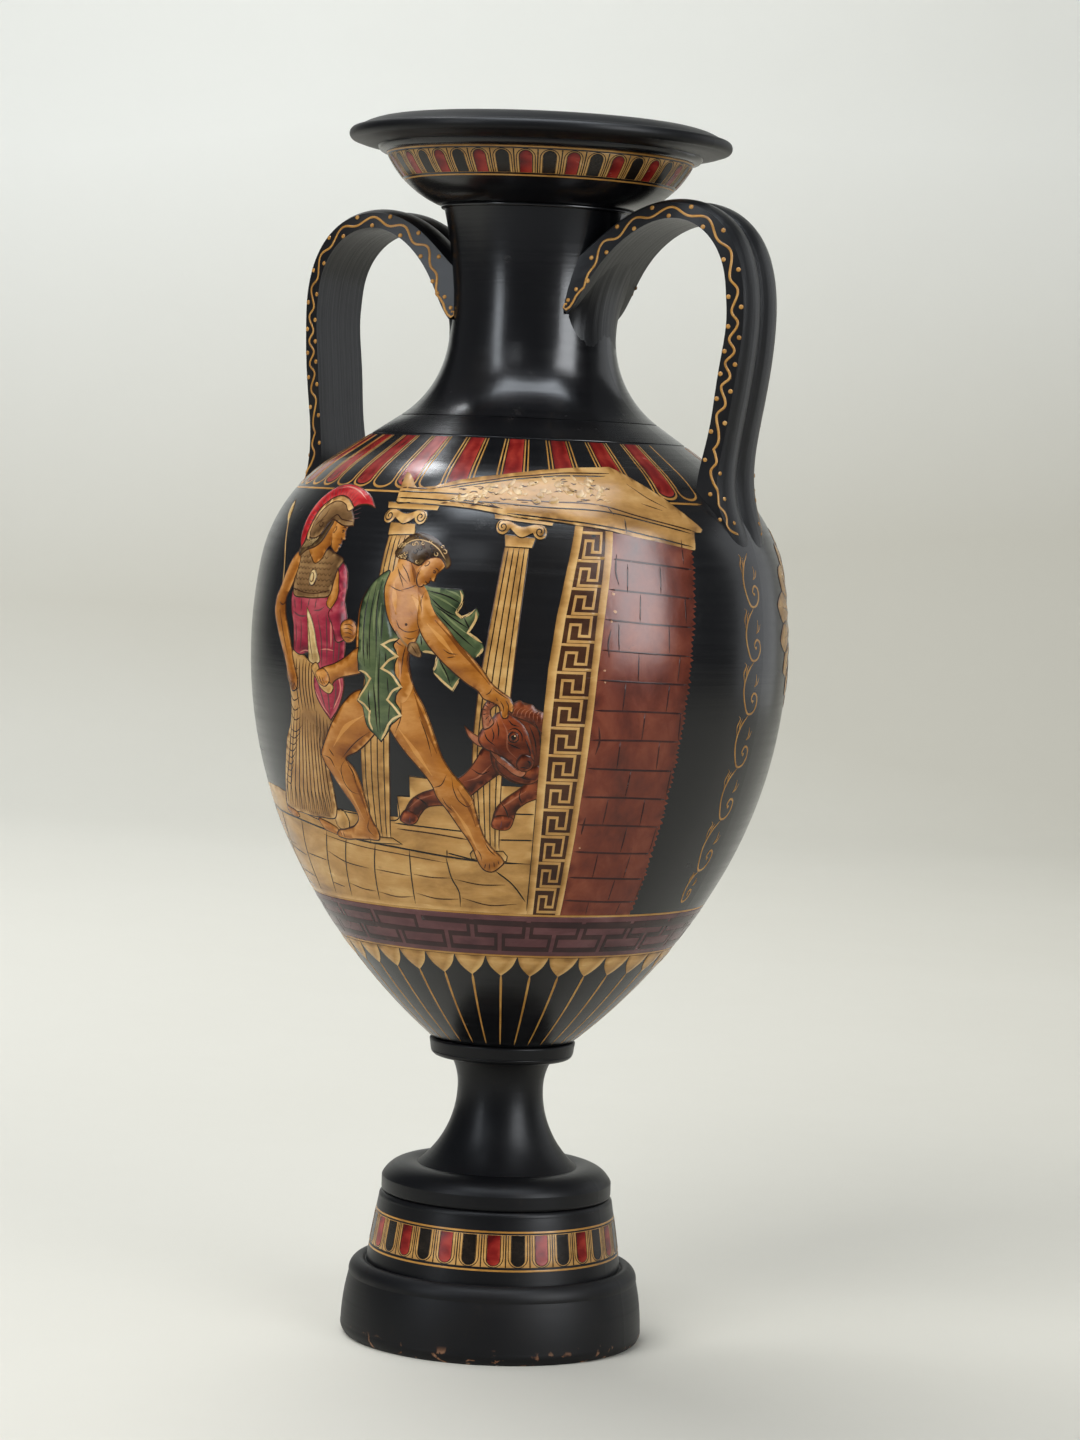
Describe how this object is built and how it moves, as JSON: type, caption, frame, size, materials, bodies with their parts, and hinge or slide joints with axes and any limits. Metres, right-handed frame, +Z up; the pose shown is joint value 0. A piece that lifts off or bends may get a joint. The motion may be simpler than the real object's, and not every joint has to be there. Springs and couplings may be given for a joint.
{
  "type": "amphora",
  "caption": "Tall pedestal amphora in black-glazed clay with a flaring lip, strap handles from neck to shoulder and painted bands and panels, on a stepped plinth.",
  "frame": {"origin": "centre of the underside of the plinth, on the surface that the vase stands on", "axes": "+Z up along the turning axis, the handles on +X and -X, the painted front panel towards -Y"},
  "size_m": [0.2216, 0.2216, 0.502],
  "materials": {
    "black_glaze": "gloss",
    "satin_black": "satin",
    "ochre_paint": "satin",
    "gold_paint": "satin",
    "red_paint": "satin",
    "maroon_paint": "satin",
    "brick_paint": "satin",
    "flesh_paint": "satin",
    "bull_paint": "satin",
    "green_paint": "satin",
    "rose_paint": "satin",
    "brown_paint": "satin",
    "dark_line": "satin",
    "bare_clay": "matte"
  },
  "bodies": {
    "root": {"plinth": "satin_black", "stand_drum": "satin_black", "foot_disc": "satin_black", "stem": "satin_black", "collar_ring": "satin_black", "lower_bowl": "black_glaze", "belly_wall": "black_glaze", "shoulder": "black_glaze", "neck": "black_glaze", "mouth_echinus": "black_glaze", "lip": "black_glaze", "handle_right": "black_glaze", "handle_left": "black_glaze"}
  },
  "joints": []
}
